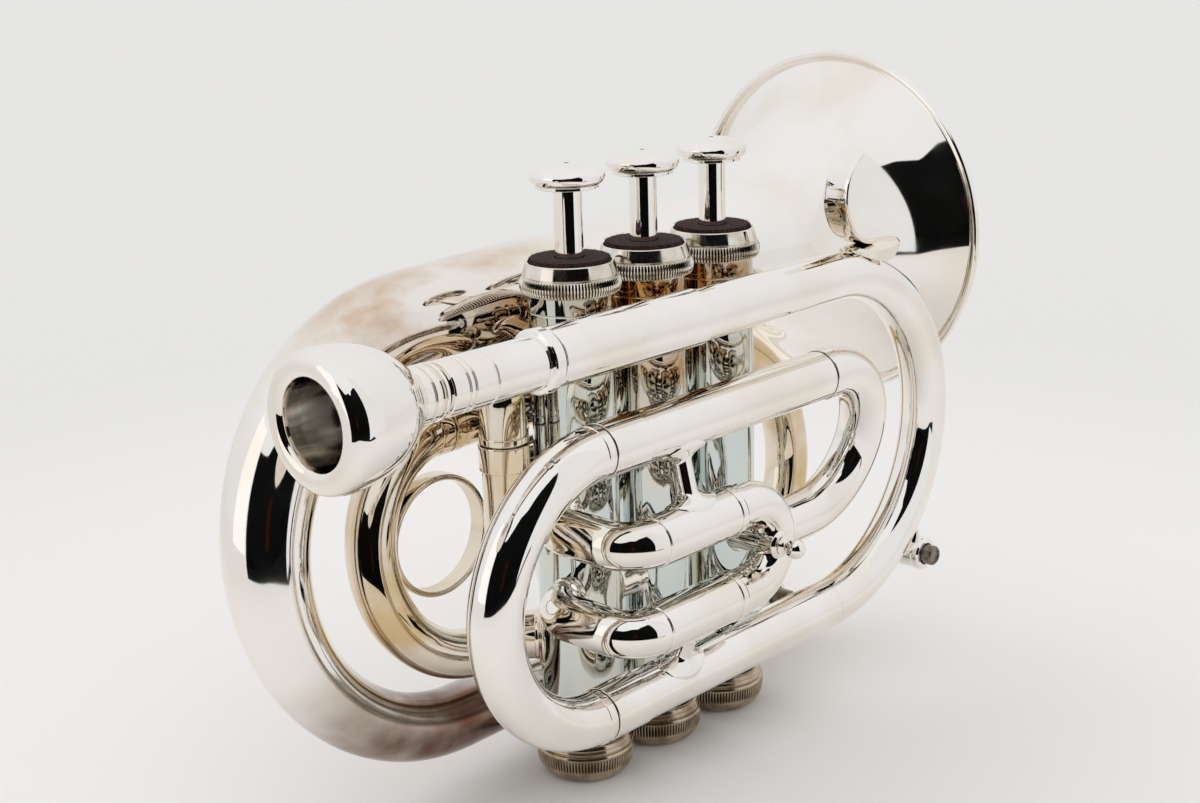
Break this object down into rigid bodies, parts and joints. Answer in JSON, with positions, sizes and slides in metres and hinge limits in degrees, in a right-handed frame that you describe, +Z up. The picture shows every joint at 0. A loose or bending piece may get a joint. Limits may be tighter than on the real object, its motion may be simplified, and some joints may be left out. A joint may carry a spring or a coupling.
{
  "type": "pocket trumpet",
  "caption": "Pocket trumpet: three piston valves, tightly coiled tubing and a small bell, resting on its valve caps.",
  "frame": {"origin": "centre of the middle valve's bottom cap, on the surface the horn stands on", "axes": "+X towards the bell, +Y to the player's left, +Z up along the valves"},
  "size_m": [0.2225, 0.1147, 0.1505],
  "materials": {
    "silver_plate": "polished silver plate on brass",
    "warm_silver_plate": "polished silver plate, warm with tarnish",
    "nickel_plate": "nickel plate, worn satin",
    "piston_metal": "fine ground nickel alloy",
    "spring_steel": "drawn wire",
    "dark_steel": "dull dark metal",
    "cap_felt": "dark wool felt"
  },
  "bodies": {
    "horn": {"mouthpiece_receiver": "silver_plate", "leadpipe_sleeve": "silver_plate", "leadpipe": "silver_plate", "pinky_hook": "silver_plate", "main_slide_upper_tube": "silver_plate", "main_slide_lower_tube": "silver_plate", "small_front_bow": "silver_plate", "first_slide_upper_tube": "silver_plate", "first_slide_lower_tube": "silver_plate", "second_slide_upper_tube": "silver_plate", "second_slide_lower_tube": "silver_plate", "third_slide_upper_tube": "silver_plate", "third_slide_lower_tube": "silver_plate", "casing_link_1": "silver_plate", "casing_link_2": "silver_plate", "inner_rear_bow": "silver_plate", "far_upper_tube": "silver_plate", "far_front_bow": "silver_plate", "bell": "silver_plate", "slide_brace_upper": "silver_plate", "slide_brace_lower": "silver_plate", "leadpipe_brace": "silver_plate", "bell_brace_front": "silver_plate", "bell_brace_rear": "silver_plate", "water_key_barrel_1": "silver_plate", "water_key_barrel_2": "silver_plate", "valve_casing_1": "silver_plate", "valve_casing_2": "silver_plate", "valve_casing_3": "silver_plate", "bell_bow": "warm_silver_plate", "finger_ring": "warm_silver_plate", "bottom_cap_1": "nickel_plate", "bottom_cap_2": "nickel_plate", "bottom_cap_3": "nickel_plate", "top_cap_1": "nickel_plate", "top_cap_2": "nickel_plate", "top_cap_3": "nickel_plate", "valve_spring_1": "spring_steel", "valve_spring_2": "spring_steel", "valve_spring_3": "spring_steel", "cap_felt_1": "cap_felt", "cap_felt_2": "cap_felt", "cap_felt_3": "cap_felt"},
    "mouthpiece": {"mouthpiece": "silver_plate"},
    "main_slide": {"main_tuning_crook": "silver_plate"},
    "first_slide": {"first_slide_crook": "silver_plate", "first_slide_knob": "silver_plate"},
    "second_slide": {"second_slide_crook": "silver_plate"},
    "third_slide": {"third_slide_crook": "silver_plate"},
    "valve_1": {"piston_1": "piston_metal", "valve_stem_1": "silver_plate", "finger_button_1": "silver_plate"},
    "valve_2": {"piston_2": "piston_metal", "valve_stem_2": "silver_plate", "finger_button_2": "silver_plate"},
    "valve_3": {"piston_3": "piston_metal", "valve_stem_3": "silver_plate", "finger_button_3": "silver_plate"},
    "water_key_1": {"water_key_plunger_1": "dark_steel"},
    "water_key_2": {"water_key_plunger_2": "dark_steel"}
  },
  "joints": [
    {"name": "mouthpiece_pull", "type": "slide", "parent": "horn", "child": "mouthpiece", "axis": [-1, 0, 0], "range_m": [0, 0.05]},
    {"name": "main_slide_pull", "type": "slide", "parent": "horn", "child": "main_slide", "axis": [-1, 0, 0], "range_m": [0, 0.024]},
    {"name": "first_slide_pull", "type": "slide", "parent": "horn", "child": "first_slide", "axis": [1, 0, 0], "range_m": [0, 0.016]},
    {"name": "second_slide_pull", "type": "slide", "parent": "horn", "child": "second_slide", "axis": [0, 1, 0], "range_m": [0, 0.008]},
    {"name": "third_slide_pull", "type": "slide", "parent": "horn", "child": "third_slide", "axis": [0, 0, 1], "range_m": [0, 0.008]},
    {"name": "valve_1_press", "type": "slide", "parent": "horn", "child": "valve_1", "axis": [0, 0, -1], "range_m": [0, 0.014], "stiffness_N_per_m": 150, "springref_m": -0.025, "deforming": ["valve_spring_1"]},
    {"name": "valve_2_press", "type": "slide", "parent": "horn", "child": "valve_2", "axis": [0, 0, -1], "range_m": [0, 0.014], "stiffness_N_per_m": 150, "springref_m": -0.025, "deforming": ["valve_spring_2"]},
    {"name": "valve_3_press", "type": "slide", "parent": "horn", "child": "valve_3", "axis": [0, 0, -1], "range_m": [0, 0.014], "stiffness_N_per_m": 150, "springref_m": -0.025, "deforming": ["valve_spring_3"]},
    {"name": "water_key_1_press", "type": "slide", "parent": "horn", "child": "water_key_1", "axis": [0, 1, 0], "range_m": [0, 0.002], "stiffness_N_per_m": 300, "springref_m": -0.003},
    {"name": "water_key_2_press", "type": "slide", "parent": "horn", "child": "water_key_2", "axis": [0, 1, 0], "range_m": [0, 0.002], "stiffness_N_per_m": 300, "springref_m": -0.003}
  ]
}
